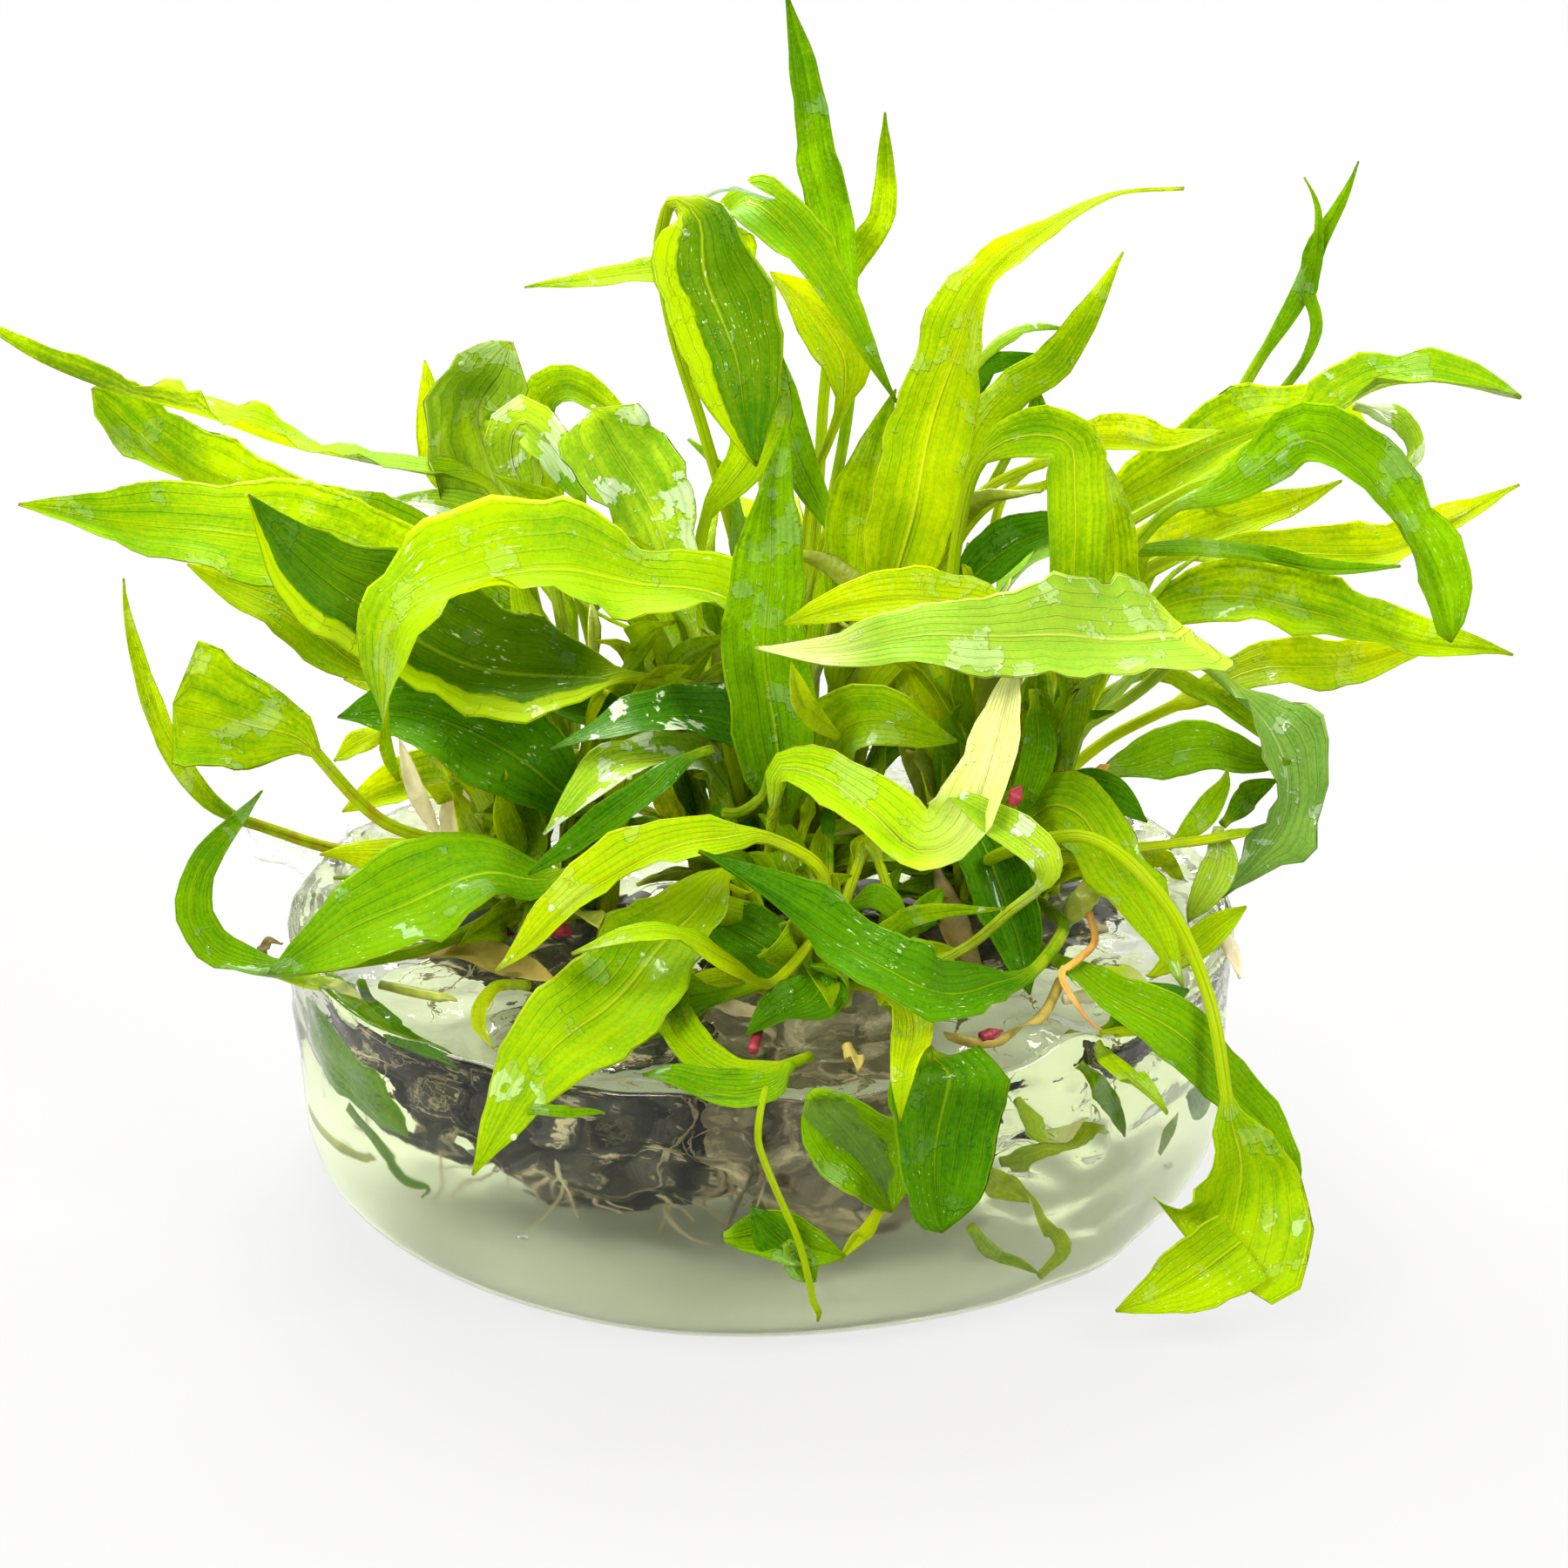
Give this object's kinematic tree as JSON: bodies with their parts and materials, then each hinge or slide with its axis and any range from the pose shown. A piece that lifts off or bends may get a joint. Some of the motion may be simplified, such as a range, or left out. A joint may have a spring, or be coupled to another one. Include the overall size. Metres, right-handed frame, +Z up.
{
  "type": "cryptocoryne clump in nutrient gel",
  "caption": "In-vitro cryptocoryne plantlets: a spreading clump of narrow arching leaves on rootstocks in a clear round puck of nutrient gel.",
  "frame": {"origin": "on the ground, under the middle of the gel puck's flat underside", "axes": "+Z up, -Y toward the front (the side that the picture shows), +X to the right seen from the front"},
  "size_m": [0.1524, 0.1129, 0.1138],
  "materials": {
    "clear_gel": "wet, clear, slightly milky gel",
    "roots": "matte fibrous",
    "leaf_green": "satin leaf, wet in places"
  },
  "bodies": {
    "root": {"gel_puck": "clear_gel", "leaf_arch_left": "leaf_green", "leaf_arch_right": "leaf_green", "leaf_back_left": "leaf_green", "leaf_back_left_far": "leaf_green", "leaf_back_middle": "leaf_green", "leaf_back_right": "leaf_green", "leaf_behind_arch": "leaf_green", "leaf_big_arch": "leaf_green", "leaf_bright_fold": "leaf_green", "leaf_dark_gloss": "leaf_green", "leaf_far_left_ribbon": "leaf_green", "leaf_front_arch": "leaf_green", "leaf_front_broad": "leaf_green", "leaf_front_hanging": "leaf_green", "leaf_front_left_low": "leaf_green", "leaf_front_middle_dark": "leaf_green", "leaf_front_small": "leaf_green", "leaf_left_brown_tip": "leaf_green", "leaf_left_dark": "leaf_green", "leaf_left_high": "leaf_green", "leaf_left_hook": "leaf_green", "leaf_left_long": "leaf_green", "leaf_left_low_dark": "leaf_green", "leaf_left_low_gloss": "leaf_green", "leaf_left_round": "leaf_green", "leaf_left_thin_curl": "leaf_green", "leaf_left_top_broad": "leaf_green", "leaf_left_top_fold": "leaf_green", "leaf_left_wet": "leaf_green", "leaf_left_wrinkled": "leaf_green", "leaf_long_stem": "leaf_green", "leaf_middle_dark": "leaf_green", "leaf_middle_green": "leaf_green", "leaf_middle_upright": "leaf_green", "leaf_over_rim": "leaf_green", "leaf_pale_front": "leaf_green", "leaf_pale_second": "leaf_green", "leaf_right_arch": "leaf_green", "leaf_right_back_broad": "leaf_green", "leaf_right_back_lime": "leaf_green", "leaf_right_dark_hanging": "leaf_green", "leaf_right_far_ribbon": "leaf_green", "leaf_right_fold": "leaf_green", "leaf_right_front_arch": "leaf_green", "leaf_right_low_lime": "leaf_green", "leaf_right_low_point": "leaf_green", "leaf_right_middle_lime": "leaf_green", "leaf_right_point": "leaf_green", "leaf_right_ruffled": "leaf_green", "leaf_right_tall": "leaf_green", "leaf_right_up": "leaf_green", "leaf_tall_broad": "leaf_green", "leaf_tall_curved": "leaf_green", "leaf_tallest": "leaf_green", "leaf_wet_low": "leaf_green", "rootstock_front": "roots", "rootstock_left": "roots", "rootstock_middle": "roots", "rootstock_right": "roots"}
  },
  "joints": []
}
